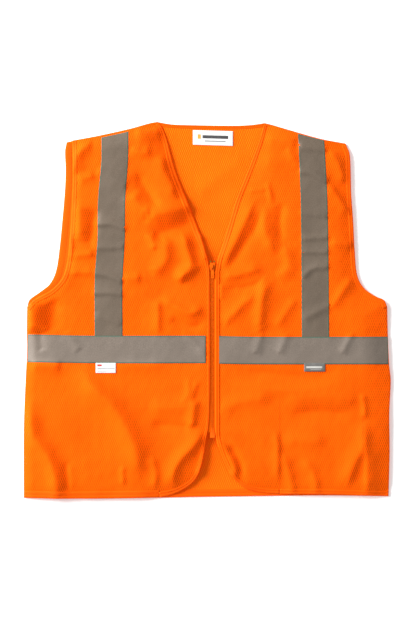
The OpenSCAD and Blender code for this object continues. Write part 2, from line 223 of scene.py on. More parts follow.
LEFT_FOLDS = [
    (3, 8, 16, (105, 320), (170, 310)), (2, 10, 18, (100, 280), (165, 275)),
    (5, 9, 14, (90, 210), (65, 155), (40, 105), (25, 75)),
    (-2.8, 9, 8, (110, 210), (90, 155), (60, 110), (35, 70)), (1.8, 5, 5, (75, 220), (110, 225)),
    (2.4, 5, 5, (110, 240), (120, 195)), (4, 13, 10, (105, 205), (105, 155), (115, 125), (130, 100)),
    (-3, 7, 10, (140, 205), (135, 155), (140, 120)), (3.6, 16, 9, (140, 125), (150, 80), (125, 60)),
    (3.6, 14, 8, (25, 60), (55, 65), (105, 80)), (-2.2, 6, 10, (30, 40), (80, 45), (110, 60)),
    (5, 12, 11, (110, 65), (100, 15), (95, -50)), (3.6, 10, 10, (90, 35), (55, 0), (25, -30)),
    (2.6, 6, 3, (25, 50), (25, 20)), (2.6, 10, 10, (165, 25), (145, -5), (125, -35)),
    (3.2, 8, 12, (220, 300), (240, 275), (255, 230)), (3.2, 7, 13, (220, 235), (240, 210), (265, 175)),
    (3, 10, 9, (225, 125), (270, 120)), (3.2, 9, 9, (270, 65), (250, 35), (225, 0)),
    (2, 8, 8, (145, 300), (160, 280), (165, 255)),
    (2.6, 10, 14, (30, -125), (105, -145), (185, -145), (260, -130)),
    (-2, 8, 10, (50, -110), (175, -120), (255, -110)),
    (2.8, 16, 12, (20, -195), (45, -175), (80, -165), (125, -160)),
    (3.4, 16, 18, (135, -180), (165, -165), (220, -160), (290, -165)),
    (-2.6, 8, 16, (145, -195), (210, -185), (270, -195)),
    (2.8, 5, 9, (125, -215), (130, -245), (130, -280), (130, -320)),
    (2.4, 14, 14, (135, -240), (175, -240), (225, -240)),
    (2.8, 9, 9, (140, -260), (150, -295), (160, -345)), (2.6, 9, 10, (175, -270), (195, -300), (205, -345)),
    (5, 10, 15, (290, -200), (290, -245), (270, -285), (250, -335)), (4, 22, 6, (295, -235), (295, -345)),
    (2.6, 6, 5, (285, -150), (290, -175), (290, -205)),
    (4, 8, 8, (15, -230), (35, -260), (50, -290), (50, -320)),
    (-3, 6, 7, (40, -245), (60, -280), (65, -315)), (1.6, 12, 12, (25, -220), (80, -230), (125, -255)),
    (1.4, 10, 10, (30, -235), (80, -270), (120, -305)),
]
BACK_FOLDS = [
    (2.2, 26, 18, (-28, 205), (13, 240), (80, 290)), (-1.2, 14, 20, (-10, 190), (43, 223), (85, 245)),
]
TAPE_CREASES = [
    (2.2, 9, 4, (-210, 156), (-180, 159), (-148, 149)), (1.4, 8, 4, (-210, 114), (-153, 116)),
    (2.6, 9, 5, (-213, 69), (-180, 63), (-153, 52)), (1.8, 8, 4, (-213, 29), (-183, 32), (-153, 28)),
    (1.8, 10, 7, (-204, 260), (-146, 228)), (1.2, 8, 5, (-208, -8), (-157, -27)),
    (2.4, 10, 7, (167, 302), (223, 296)), (2.6, 10, 5, (167, 257), (193, 252), (225, 236)),
    (1.2, 8, 5, (169, 180), (223, 173)), (1.6, 7, 3.5, (172, 131), (228, 135)),
    (1.8, 7, 3.5, (172, 107), (228, 107)), (2.0, 8, 5, (174, 58), (193, 76), (228, 81)),
    (1.4, 8, 7, (176, -17), (228, 10)), (1.6, 9, 9, (102, -41), (88, -80)),
    (1.6, 9, 8, (148, -41), (132, -80)), (1.8, 8, 7, (267, -41), (249, -80)),
    (1.2, 7, 6, (-46, -37), (0, -82)), (1.2, 9, 9, (-259, -37), (-236, -75)),
    (-1.6, 8, 8, (-308, -37), (-305, -75)),
]
FOLD_SHARPNESS = 1.7
FOLD_CUTOFF = 2.5


def fold_height(folds, x, y, fade=0.25):
    """How far the folds lift the cloth. Each fades over the share fade of its length at both ends."""
    lift = np.zeros(len(x))
    for height, left_reach, right_reach, *points in folds:
        path = smooth(points)
        reach = FOLD_CUTOFF * max(left_reach, right_reach)
        near = (x > path[:, 0].min() - reach) & (x < path[:, 0].max() + reach)
        near &= (y > path[:, 1].min() - reach) & (y < path[:, 1].max() + reach)
        if near.any():
            gap, along, on_left = nearest(path, x[near], y[near])
            gap /= np.where(on_left, left_reach, right_reach)
            full = np.clip(np.minimum(along, 1 - along) / fade, 0, 1)
            lift[near] += height * full**2 * (3 - 2 * full) * np.exp(-(gap**FOLD_SHARPNESS))
    return lift


RIPPLE_WAVES = 7


def ripple(x, y, seed, wavelength, height):
    """Slack in the cloth: low waves in mixed directions, the same ones each run."""
    waves = np.random.default_rng(seed)
    lift = np.zeros(len(x))
    for _ in range(RIPPLE_WAVES):
        turn = waves.uniform(0, 2 * math.pi)
        phase = waves.uniform(0, 2 * math.pi)
        length = wavelength * waves.uniform(0.6, 1.8)
        lift += np.sin((x * math.cos(turn) + y * math.sin(turn)) * 2 * math.pi / length + phase)
    return lift * height / math.sqrt(RIPPLE_WAVES)


def rise(gap, reach):
    """How cloth rounds up from an edge: 0 at the edge and 1 from reach on."""
    return np.sin(math.pi / 2 * np.clip(gap / reach, 0, 1))


def drop(x, y, paths, depth, reach):
    """How far cloth drops near its edges: by depth at the edge, and by nothing from reach on."""
    return depth * (1 - rise(gap_to(paths, x, y), reach))


LOW_EASE = 1.2
TAPE_EASE = 3


def above(z, low):
    """z, but eased so that it stays above low."""
    return low + np.logaddexp(0, (z - low) / LOW_EASE) * LOW_EASE


def beneath(place, middle, half):
    """1 where the cloth is under a tape, which stiffens it, and 0 away from it."""
    return 1 / (1 + np.exp((np.abs(place - middle) - half) / TAPE_EASE))


FRONT_TOP = 13.3
FRONT_LOWEST = 2.6
RIGHT_EDGE = joined(RIGHT_SIDE, RIGHT_FRONT_ARMHOLE)
LEFT_EDGE = joined(LEFT_SIDE, LEFT_ARMHOLE)
# Where the front drops: the edges, the depth there, and how far in from them the drop reaches
EDGE_DROPS = [
    ([RIGHT_EDGE], 5, 18), ([RIGHT_EDGE], 3, 70), ([LEFT_EDGE], 8, 50),
    ([LEFT_SHOULDER, RIGHT_SHOULDER], 4.5, 30), ([BACK_HEM], 4.5, 30),
]
NECKLINE_DROP = [path[path[:, 1] > ZIP_TOP] for path in (RIGHT_OPENING, LEFT_OPENING)], 9.5, 50
CURVE_DROP = [path[path[:, 1] < ZIP_FOOT] for path in (RIGHT_OPENING, LEFT_OPENING)], 6, 45
# These two set in over a distance, from just above the zip's top and down from its foot
NECKLINE_START, NECKLINE_EASE = ZIP_TOP + 5, 60
CURVE_EASE = 50

RIGHT_FOLD_DEPTH = 1.9
LEFT_FOLD_DEPTH = 1.5
TAPE_CREASE_DEPTH = 1.25
# What holds the slack down, by what share, and how far round it: tabs, tapes and the zip
TABS = [(node_box(node)[0] + node_box(node)[1]) / 2 for node in ("right_tab_label", "left_tab_label")]
TAB_HOLD, TAB_REACH_X, TAB_REACH_Y = 0.9, 30, 26
TAPE_HOLD, TAPE_REACH = 0.4, 26
WAIST_MIDDLE = -72
UPRIGHT_MIDDLE, UPRIGHT_REACH = (11, 150), (188, 225)
ZIP_REACH, ZIP_HOLD_FOOT, ZIP_HOLD_TOP = 14, ZIP_FOOT - 8, ZIP_TOP + 25


def front_height(x, y):
    """How high the outside of the front lies."""
    z = FRONT_TOP - sum(drop(x, y, *edge) for edge in EDGE_DROPS)
    z -= drop(x, y, *NECKLINE_DROP) * rise(y - NECKLINE_START, NECKLINE_EASE)
    z -= drop(x, y, *CURVE_DROP) * rise(ZIP_FOOT - y, CURVE_EASE)
    slack = RIGHT_FOLD_DEPTH * fold_height(RIGHT_FOLDS, x, y)
    slack += LEFT_FOLD_DEPTH * fold_height(LEFT_FOLDS, x, y)
    slack += ripple(x, y, seed=4, wavelength=60, height=0.8)
    slack += ripple(x, y, seed=5, wavelength=24, height=0.17)
    for tab in TABS:
        far = ((x - tab[0]) / TAB_REACH_X) ** 2 + ((y - tab[1]) / TAB_REACH_Y) ** 2
        slack *= 1 - TAB_HOLD * np.exp(-far)
    under_upright = beneath(np.abs(x - UPRIGHT_MIDDLE[0]), UPRIGHT_REACH[0], TAPE_REACH)
    under_upright *= beneath(y, UPRIGHT_MIDDLE[1], UPRIGHT_REACH[1])
    slack *= 1 - TAPE_HOLD * np.maximum(beneath(y, WAIST_MIDDLE, TAPE_REACH), under_upright)
    beside_zip = np.exp(-(((x - ZIP_X) / ZIP_REACH) ** 2)) * (y < ZIP_HOLD_TOP) * (y > ZIP_HOLD_FOOT)
    z += slack * (1 - beside_zip) + TAPE_CREASE_DEPTH * fold_height(TAPE_CREASES, x, y, fade=0.1)
    return above(z, FRONT_LOWEST)


BACK_REST = 1.3
BACK_LOWEST = 0.8


def back_height(x, y):
    """How high the inside of the back lies."""
    z = BACK_REST + fold_height(BACK_FOLDS, x, y) + ripple(x, y, seed=9, wavelength=80, height=0.25)
    return above(z, BACK_LOWEST)


UNDERSIDE = 0.1


def under_back(x, y):
    """How high the outside of the back lies, which rests on the surface."""
    return np.full(len(x), UNDERSIDE)


def on_grid(height, x, y):
    """How high a layer lies, over a grid of points."""
    return height(np.ravel(x), np.ravel(y)).reshape(np.shape(x))


# ---- making meshes

def make_object(name, points, faces, flat, material):
    """A smooth mesh from points in millimetres, which keeps its flat coordinates for the material."""
    points = np.reshape(points, (-1, 3)) * MM
    flat = np.reshape(flat, (len(points), -1)) * MM
    mesh = bpy.data.meshes.new(name)
    mesh.from_pydata(points.tolist(), [], faces)
    mesh.polygons.foreach_set("use_smooth", np.ones(len(faces), bool))
    coordinates = mesh.attributes.new("flat", "FLOAT_VECTOR", "POINT")
    values = np.zeros((len(points), 3), np.float32)
    values[:, : flat.shape[1]] = flat
    coordinates.data.foreach_set("vector", values.ravel())
    mesh.materials.append(material)
    mesh.update()
    made = bpy.data.objects.new(name, mesh)
    bpy.context.scene.collection.objects.link(made)
    return made


def thicken(piece, thickness):
    """Gives a sheet its cloth's thickness, below its outer face."""
    solidify = piece.modifiers.new("thickness", "SOLIDIFY")
    solidify.thickness = thickness * MM
    solidify.offset = -1
    even = piece.modifiers.new("even_shading", "WEIGHTED_NORMAL")
    even.mode = "FACE_AREA"
    even.weight = 50
    return piece


ROW_SPACING = 0.87 * CLOTH_STEP
OUTLINE_CLEARANCE = 0.6 * CLOTH_STEP


def points_inside(outline):
    """Points in staggered rows inside a closed outline, clear of it."""
    start, end = outline, np.roll(outline, -1, axis=0)
    found = []
    rows = np.arange(outline[:, 1].min() + CLOTH_STEP / 2, outline[:, 1].max(), ROW_SPACING)
    for number, y in enumerate(rows):
        crosses = (start[:, 1] > y) != (end[:, 1] > y)
        share = (y - start[crosses, 1]) / (end[crosses, 1] - start[crosses, 1])
        edges = np.sort(start[crosses, 0] + share * (end[crosses, 0] - start[crosses, 0]))
        for left, right in zip(edges[::2], edges[1::2]):
            first = math.ceil(left / CLOTH_STEP) * CLOTH_STEP + (number % 2) * CLOTH_STEP / 2
            found += [(x, y) for x in np.arange(first, right, CLOTH_STEP)]
    found = np.array(found)
    # In parts, since the whole sheet at once would need a very large table of distances
    parts = np.array_split(found, 12)
    gap = np.concatenate([gap_to([outline], *part.T) for part in parts])
    return found[gap > OUTLINE_CLEARANCE]


def sheet(name, outline, height, material):
    """One continuous curved sheet of cloth inside a closed outline."""
    points = np.vstack([outline, points_inside(outline)])
    made = delaunay_2d_cdt([Vector(point) for point in points], [], [list(range(len(outline)))], 1, 1e-4)
    flat = np.array([tuple(point) for point in made[0]])
    solid = np.column_stack([flat, height(flat[:, 0], flat[:, 1])])
    return thicken(make_object(name, solid, made[2], flat, material), CLOTH_THICK)


def grid_faces(rows, columns, first=0, ring=False):
    """Quads between the rows of a grid of points. A ring's last column joins its first."""
    faces = []
    for row in range(rows - 1):
        for column in range(columns if ring else columns - 1):
            beside = (column + 1) % columns
            corner = first + row * columns
            above_it = corner + columns
            faces.append((corner + column, corner + beside, above_it + beside, above_it + column))
    return faces


def cap_faces(rows, columns, first=0):
    """The two faces that close the ends of a ring's grid."""
    last = first + (rows - 1) * columns
    return [tuple(range(first, first + columns))[::-1], tuple(range(last, last + columns))]


PUCKER_PITCH = 9


def band(name, path, side, profile, height, material, pucker=0.0, share=1.0):
    """Cloth folded round an edge.

    profile holds (across, up) pairs round its closed section, across from the edge towards the
    cloth, which is to the left of travel where side is 1 and to the right where it is -1. share
    scales that width, all along or at each point of the path.
    """
    profile = np.array(profile)
    normal = side_normals(path) * side * np.broadcast_to(share, len(path))[:, None]
    along = travelled(path)
    x = path[:, :1] + normal[:, :1] * profile[:, 0]
    y = path[:, 1:] + normal[:, 1:] * profile[:, 0]
    puckered = np.sin(along[:, None] * 2 * math.pi / PUCKER_PITCH) * (profile[:, 1] > 0.5)
    z = on_grid(height, x, y) + profile[:, 1] + pucker * puckered
    points = np.stack([x, y, z], axis=-1)
    girth = travelled(profile)
    flat = np.stack([np.tile(along[:, None], (1, len(profile))), np.tile(girth, (len(path), 1))], axis=-1)
    rows, columns = len(path), len(profile)
    faces = grid_faces(rows, columns, ring=True) + cap_faces(rows, columns)
    if side == 1:
        faces = [face[::-1] for face in faces]
    return make_object(name, points, faces, flat, material)


def strip(name, first_edge, second_edge, height, lift, material, columns=17, thickness=0.35):
    """A flat tape between two edges with the same number of points, laid on the cloth."""
    share = np.linspace(0, 1, columns)[None, :, None]
    flat = first_edge[:, None, :] * (1 - share) + second_edge[:, None, :] * share
    z = on_grid(height, flat[..., 0], flat[..., 1]) + lift
    points = np.concatenate([flat, z[..., None]], axis=-1)
    faces = grid_faces(len(first_edge), columns)
    width = np.linalg.norm(second_edge - first_edge, axis=1)
    across = share[0, :, 0] * width[:, None]
    along = np.tile(travelled(first_edge)[:, None], (1, columns))
    from_side = np.minimum(across, width[:, None] - across)
    from_edge = np.minimum(from_side, np.minimum(along, along[-1] - along))
    flat = np.stack([across, along, from_edge], axis=-1)
    made = make_object(name, points, faces, flat, material)
    if made.data.polygons[0].normal.z < 0:
        made.data.flip_normals()
    return thicken(made, thickness)


TUBE_SIDES = 6


def tube(name, path, radius, material):
    """A round tube along a path in space."""
    tangent = np.gradient(path, axis=0)
    tangent /= np.linalg.norm(tangent, axis=1)[:, None]
    across = np.cross(tangent, (0, 1, 0))
    across /= np.linalg.norm(across, axis=1)[:, None]
    third = np.cross(tangent, across)
    turn = np.arange(TUBE_SIDES) * 2 * math.pi / TUBE_SIDES
    points = path[:, None] + radius * (
        across[:, None] * np.cos(turn)[None, :, None] + third[:, None] * np.sin(turn)[None, :, None]
    )
    faces = grid_faces(len(path), TUBE_SIDES, ring=True) + cap_faces(len(path), TUBE_SIDES)
    flat = np.repeat(np.column_stack([travelled(path), np.zeros(len(path))]), TUBE_SIDES, axis=0)
    return make_object(name, points, faces, flat, material)


def inset(path, side, distance):
    """A path moved sideways, towards the cloth."""
    return path + side_normals(path) * side * distance


# ---- materials

def put(tree, kind, inputs=None, **settings):
    """Adds a node. inputs holds its sockets' values, or the sockets that feed them."""
    made = tree.nodes.new("ShaderNode" + kind)
    for key, value in settings.items():
        setattr(made, key, value)
    for key, value in (inputs or {}).items():
        if isinstance(value, bpy.types.NodeSocket):
            tree.links.new(value, made.inputs[key])
        else:
            made.inputs[key].default_value = value
    return made


def calc(tree, operation, first, second=0.0, third=0.0):
    """One calculation with numbers or sockets."""
    return put(tree, "Math", {0: first, 1: second, 2: third}, operation=operation).outputs[0]


def ramp(tree, value, low, high, out_low=0.0, out_high=1.0):
    """A smooth step from out_low to out_high as the value goes from low to high."""
    inputs = {"Value": value, "From Min": low, "From Max": high, "To Min": out_low, "To Max": out_high}
    return put(tree, "MapRange", inputs, interpolation_type="SMOOTHSTEP").outputs[0]


def noise(tree, vector, scale, detail=2.0):
    """Smooth noise from 0 to 1."""
    return put(tree, "TexNoise", {"Vector": vector, "Scale": scale, "Detail": detail}).outputs["Fac"]


def mixed(tree, share, first, second):
    """The first colour, mixed with a share of the second."""
    made = put(tree, "Mix", data_type="RGBA")
    for socket, value in ((made.inputs[0], share), (made.inputs[6], first), (made.inputs[7], second)):
        if isinstance(value, bpy.types.NodeSocket):
            tree.links.new(value, socket)
        else:
            socket.default_value = (*value, 1) if hasattr(value, "__len__") else value
    return made.outputs[2]


def wave(tree, place, pitch):
    """A sine along a coordinate."""
    return calc(tree, "SINE", calc(tree, "MULTIPLY", place, 2 * math.pi / pitch))


def flat_coordinates(tree):
    """The flat coordinates: in metres as a vector, and in millimetres one by one."""
    vector = put(tree, "Attribute", attribute_name="flat").outputs["Vector"]
    parts = put(tree, "SeparateXYZ", {"Vector": vector}).outputs
    return vector, *(calc(tree, "MULTIPLY", part, 1 / MM) for part in parts)


def surface(tree, colour, roughness, bump, depth, **fixed):
    """A shader with its colour, roughness and bump from nodes, and its other sockets set on it."""
    relief = put(tree, "Bump", {"Height": bump, "Distance": depth * MM, "Strength": 1.0})
    shader = put(tree, "BsdfPrincipled", {
        "Base Color": colour, "Roughness": roughness, "Normal": relief.outputs[0],
    })
    for key, value in fixed.items():
        shader.inputs[key.replace("_", " ")].default_value = value
    return shader.outputs[0]


def of_nodes(build):
    """Turns a function that builds a shader in a tree into one that makes a named material."""
    def make(name, *colours, **settings):
        material = bpy.data.materials.new(name)
        material.use_nodes = True
        tree = material.node_tree
        tree.nodes.clear()
        put(tree, "OutputMaterial", {"Surface": build(tree, *colours, **settings)})
        return material
    return make


DEEP_ORANGE = (0.8, 0.08, 0.0005)
# Painted glow: the orange cloth gives off a little light of its own, which lightens its shaded parts
PAINTED_GLOW = {"Emission_Color": (1.0, 0.11, 0.001, 1.0), "Emission_Strength": 0.1}
SHEEN = {"Sheen_Weight": 0.1, "Sheen_Tint": (1.0, 0.25, 0.01, 1.0), "Specular_IOR_Level": 0.03}
SELVEDGE = (0.055, 0.115, 0.08)
SELVEDGE_EDGES = 1.2, 1.7
# A hole's pitch, and half its size
HOLE_ACROSS = 4.0, 0.6
HOLE_ALONG = 10.0, 2.5


def hole_reach(tree, across, along, shift):
    """How far every other row's nearest hole is, squared, and 1 at its rim. shift moves the first hole."""
    parts = []
    for place, pitch, half in (across, *HOLE_ACROSS), (along, *HOLE_ALONG):
        turn = calc(tree, "FRACT", calc(tree, "MULTIPLY_ADD", place, 1 / pitch, shift))
        from_middle = calc(tree, "MULTIPLY", calc(tree, "SUBTRACT", turn, 0.5), pitch / half)
        parts.append(calc(tree, "POWER", from_middle, 2.0))
    return calc(tree, "ADD", *parts)


@of_nodes
def mesh_fabric(tree, open_share, painted_hole_tone, ground):
    """Warp-knitted polyester mesh: rows of small upright holes, each half a pitch past the last.

    open_share is how much of a hole its stray yarns leave open, painted_hole_tone the painted
    light or shade in and around each hole, and ground the colour between the holes.
    """
    vector, across, along, _ = flat_coordinates(tree)
    across = calc(tree, "ADD", across, ramp(tree, noise(tree, vector, 45), 0, 1, -1.2, 1.2))
    along = calc(tree, "ADD", along, ramp(tree, noise(tree, vector, 38), 0, 1, -1.0, 1.0))
    rows = hole_reach(tree, across, along, 0.0), hole_reach(tree, across, along, 0.5)
    reach = calc(tree, "SQRT", calc(tree, "MINIMUM", *rows))
    solid = ramp(tree, reach, 0.8, 1.1, 1 - open_share, 1)
    yarn = put(tree, "TexWave", {"Vector": vector, "Scale": 420.0, "Distortion": 1.5, "Detail": 1.0})
    crest = calc(tree, "MULTIPLY_ADD", yarn.outputs["Fac"], 0.2, ramp(tree, reach, 1.0, 1.9))
    # Painted light or painted shade in and around each hole, for what would be seen through it
    shade = mixed(tree, ramp(tree, reach, 0.9, 1.35), painted_hole_tone, ground)
    patchy = ramp(tree, noise(tree, vector, 9, 4), 0.35, 0.75, 0, 0.28)
    shade = mixed(tree, patchy, shade, DEEP_ORANGE)
    rough = ramp(tree, noise(tree, vector, 160), 0, 1, 0.62, 0.8)
    cloth = surface(tree, shade, rough, crest, 0.3, Sheen_Roughness=0.5, **SHEEN, **PAINTED_GLOW)
    hole = put(tree, "BsdfTransparent").outputs[0]
    return put(tree, "MixShader", {0: solid, 1: hole, 2: cloth}).outputs[0]


@of_nodes
def smooth_knit(tree, light, dark, wale=1.1):
    """Close-knitted tape: fine ribs along its length, a little shade between them and a soft sheen."""
    vector, along, across, _ = flat_coordinates(tree)
    ribs = calc(tree, "MULTIPLY", wave(tree, across, wale), 0.5)
    loops = wave(tree, calc(tree, "ADD", along, across), wale * 0.8)
    relief = calc(tree, "MULTIPLY_ADD", loops, 0.3, ribs)
    relief = calc(tree, "MULTIPLY_ADD", noise(tree, vector, 300, 3), 0.8, relief)
    shade = mixed(tree, ramp(tree, relief, -0.6, 1.0), dark, light)
    shade = mixed(tree, ramp(tree, noise(tree, vector, 25, 3), 0.4, 0.8, 0, 0.3), shade, dark)
    rough = ramp(tree, relief, -1, 1, 0.7, 0.5)
    return surface(tree, shade, rough, relief, 0.12, **SHEEN, **PAINTED_GLOW)


@of_nodes
def reflective_tape(tree, light, dark):
    """Grey tape with a coat of glass beads.

    It has a fine sparkle, a woven backing that shows through, faint rubs and a grey-green edge.
    """
    vector, across, along, from_edge = flat_coordinates(tree)
    beads = noise(tree, vector, 900, 4)
    weave = calc(tree, "MULTIPLY", wave(tree, across, 0.9), wave(tree, along, 0.9))
    relief = calc(tree, "MULTIPLY_ADD", weave, 0.3, beads)
    shade = mixed(tree, ramp(tree, beads, 0.3, 0.7), dark, light)
    shade = mixed(tree, ramp(tree, noise(tree, vector, 30, 5), 0.4, 0.75, 0, 0.35), shade, dark)
    shade = mixed(tree, ramp(tree, from_edge, *SELVEDGE_EDGES), SELVEDGE, shade)
    rough = ramp(tree, noise(tree, vector, 60, 4), 0.2, 0.8, 0.45, 0.62)
    return surface(tree, shade, rough, relief, 0.06, Specular_IOR_Level=0.3)


@of_nodes
def thread(tree, light, dark):
    """Twisted sewing thread."""
    place = put(tree, "TexCoord").outputs["Object"]
    twist = put(tree, "TexWave", {"Vector": place, "Scale": 900.0, "Distortion": 2.0}).outputs["Fac"]
    shade = mixed(tree, ramp(tree, twist, 0, 1), dark, light)
    rough = ramp(tree, twist, 0, 1, 0.75, 0.6)
    return surface(tree, shade, rough, twist, 0.05, Specular_IOR_Level=0.04)


@of_nodes
def moulded(tree, light, dark, side_colour, roughness, metallic=0.0):
    """Painted metal or moulded plastic: fine grain, and side_colour on the edges and sides that face away
    from straight up.
    """
    place = put(tree, "TexCoord").outputs["Object"]
    grain = noise(tree, place, 1400, 4)
    blotches = noise(tree, place, 220, 3)
    facing = put(tree, "SeparateXYZ", {"Vector": put(tree, "NewGeometry").outputs["Normal"]}).outputs["Z"]
    shade = mixed(tree, ramp(tree, blotches, 0.3, 0.7), dark, light)
    # Edges and sides that face away from straight up take side_colour: painted shade on the slider, pull
    # tab, pins and retainer box
    shade = mixed(tree, ramp(tree, facing, 0.75, 0.97, 0.8, 0), shade, side_colour)
    rough = ramp(tree, grain, 0.2, 0.8, roughness - 0.08, roughness + 0.1)
    return surface(tree, shade, rough, grain, 0.03, Metallic=metallic, Specular_IOR_Level=0.1)


@of_nodes
def printed_label(tree):
    """Woven label: a satin weave under the print that the mesh carries in its print attribute."""
    vector, across, along, _ = flat_coordinates(tree)
    ink = put(tree, "Attribute", attribute_name="print").outputs["Color"]
    relief = calc(tree, "MULTIPLY", wave(tree, across, 0.7), wave(tree, along, 0.5))
    grain = noise(tree, vector, 120, 3)
    shade = mixed(tree, ramp(tree, grain, 0.3, 0.8, 0, 0.14), ink, (0.3, 0.28, 0.26))
    rough = ramp(tree, relief, -1, 1, 0.6, 0.45)
    return surface(tree, shade, rough, relief, 0.04, Sheen_Weight=0.1)


@of_nodes
def card(tree):
    """Plain white card, with a faint glow that keeps it white all over."""
    place = put(tree, "TexCoord").outputs["Object"]
    grain = noise(tree, place, 3, 2)
    shade = mixed(tree, grain, (0.9, 0.9, 0.9), (0.94, 0.94, 0.94))
    glow = {"Emission_Color": (1.0, 1.0, 1.0, 1.0), "Emission_Strength": 0.25}
    return surface(tree, shade, 0.9, grain, 0.02, Specular_IOR_Level=0.1, **glow)


# The outside mesh's holes carry painted shade, for the shaded inside of the vest seen through them
MESH = mesh_fabric("mesh_fabric", 0.3, (0.74, 0.074, 0.001), (1.0, 0.12, 0.001))
# The back's holes carry painted light: a lighter orange for the lit floor seen through them
MESH_INSIDE = mesh_fabric("mesh_fabric_inside", 0.1, (1.0, 0.23, 0.004), (0.95, 0.1, 0.001))
BINDING = smooth_knit("binding", (1.0, 0.115, 0.001), (0.84, 0.085, 0.002))
ZIP_TAPE = smooth_knit("zip_tape", (0.95, 0.14, 0.001), (0.75, 0.09, 0.001), wale=0.8)
# One tape in two copies: the uprights' darker colours are painted shade and the waist tape's lighter ones
# painted light, for how much light the beads send back at each turn
UPRIGHT_TAPE_SHADED = reflective_tape("upright_tape", (0.165, 0.125, 0.092), (0.1, 0.075, 0.052))
WAIST_TAPE_LIT = reflective_tape("waist_tape", (0.22, 0.178, 0.145), (0.145, 0.117, 0.093))
ORANGE_THREAD = thread("orange_thread", (0.9, 0.1, 0.003), (0.6, 0.05, 0.002))
GREY_THREAD = thread("grey_thread", (0.2, 0.26, 0.2), (0.1, 0.15, 0.11))
COIL = moulded("zip_coil", (0.9, 0.165, 0.001), (0.72, 0.115, 0.001), (0.85, 0.16, 0.001), 0.55)
# The plastic's darker side colour is painted shade on the pins' and retainer box's sides
ZIP_PLASTIC = moulded("zip_plastic", (0.85, 0.125, 0.001), (0.68, 0.09, 0.001), (0.5, 0.1, 0.001), 0.5)
# The dark olive side colour is painted shade, for the slider's and pull's outlines and sides
ZIP_METAL = moulded(
    "zip_metal", (0.9, 0.13, 0.001), (0.75, 0.095, 0.001), (0.12, 0.1, 0.005), 0.4, metallic=0.1,
)
STOP_METAL = moulded(
    "stop_metal", (0.2, 0.16, 0.015), (0.12, 0.1, 0.01), (0.35, 0.2, 0.02), 0.4, metallic=0.3,
)
LABEL = printed_label("woven_label")

# ---- panels


def hold(piece, side=None):
    """Holds a piece to the body; a piece of the right or left front is left unattached, its placement kept
    in its mesh.
    """
    if side is None:
        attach(piece, "vest_body")
        return
    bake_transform(piece)


def panel(name, nodes, outline, height, material, side=None):
    """A panel of mesh fabric."""
    made = sheet(name, outline, height, material)
    hold(made, side)
    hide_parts(*nodes)


panel("back_cloth", ["back_panel"], BACK, back_height, MESH_INSIDE)
for side, outline in ("right", RIGHT_FRONT), ("left", LEFT_FRONT):
    nodes = [side + "_front_panel", side + "_flap_panel"]
    panel(side + "_front_cloth", nodes, outline, front_height, MESH, side)

# ---- bindings and seams


def fold_over(width, lift):
    """The section of a binding folded round an edge.

    It has a soft roll at the edge, the groove that its stitches pull in, and a flatter inner half.
    """
    return [
        (width, 0.1), (width * 0.95, lift * 0.6), (width * 0.8, lift * 0.85), (width * 0.62, lift * 0.85),
        (width * 0.5, lift * 0.45), (width * 0.4, lift * 0.95), (width * 0.22, lift * 1.3),
        (width * 0.08, lift), (-0.3, lift * 0.3), (-0.5, -0.4), (-0.1, -1.0), (width * 0.2, -1.4),
        (width * 0.5, -1.4), (width * 0.94, -1.3), (width, -0.8),
    ]


def binding(name, nodes, path, side, width, height, lift=1.0, share=1.0):
    """A binding that stands for the nodes, where there are any."""
    made = band(name, path, side, fold_over(width, lift), height, BINDING, 0.12, share)
    if nodes:
        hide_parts(*nodes)
    return made


def edge_share(path, levels):
    """An opening's binding's share of its full width. levels holds (y, share) pairs from hem to neck."""
    return np.interp(path[:, 1], *zip(*levels))


EDGE_WIDTH = 10.5
OPENINGS = {
    "right": (RIGHT_OPENING, -1, edge_share(RIGHT_OPENING, [
        (-346, 1.0), (-330, 0.7), (-240, 0.55), (-200, 0.36), (40, 0.4), (85, 0.6), (150, 1.0),
        (280, 0.9), (348, 0.55),
    ])),
    "left": (LEFT_OPENING, 1, edge_share(LEFT_OPENING, [
        (-338, 0.8), (-325, 0.7), (-240, 0.7), (-200, 0.76), (80, 0.76), (150, 0.8), (280, 0.75),
        (348, 0.5),
    ])),
}
for side, (path, way, share) in OPENINGS.items():
    name = side + "_front_edge"
    edge = binding(name, [name + "_binding"], path, way, EDGE_WIDTH, front_height, lift=1.5, share=share)
    hold(edge, side)

# Each binding's name, nodes, path, side of the cloth, width, layer and lift
BINDINGS = [
    ("right_front_hem", ["right_hem_binding"], RIGHT_HEM, 1, 13, front_height, 1.0),
    ("left_front_hem", ["left_hem_binding"], LEFT_HEM, -1, 9, front_height, 1.0),
    ("right_front_armhole", ["right_armhole_binding"], RIGHT_FRONT_ARMHOLE, -1, 8, front_height, 1.0),
    ("left_front_armhole", ["left_armhole_binding"], LEFT_ARMHOLE, 1, 8, front_height, 1.0),
    ("right_back_armhole", [], RIGHT_BACK_ARMHOLE, -1, 22, back_height, 0.6),
    ("left_back_armhole", [], LEFT_ARMHOLE, 1, 8, back_height, 0.6),
    ("back_hem", ["back_hem_binding"], BACK_HEM, 1, 14, back_height, 0.6),
    ("back_neck", ["back_neck_binding"], BACK_NECK, -1, 6, back_height, 0.9),
]
for name, nodes, path, way, width, height, lift in BINDINGS:
    hold(binding(name, nodes, path, way, width, height, lift))

ROLLED = [
    (4.5, 2.6), (2.7, 4.2), (0.9, 4.0), (-0.6, 3.0), (-0.8, 1.4), (-0.2, 0.2), (2.25, 0.0), (4.5, 0.2),
]
# Front and back are sewn together and rolled under along these edges
for edge, path, side in (
    ("right_side", RIGHT_SIDE, -1), ("left_side", LEFT_SIDE, 1),
    ("right_shoulder", RIGHT_SHOULDER, -1), ("left_shoulder", LEFT_SHOULDER, 1),
):
    seam = band(edge + "_roll", path, side, ROLLED, under_back, BINDING, pucker=0.1)
    hold(seam)
    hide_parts(edge + "_seam")

# ---- reflective tape

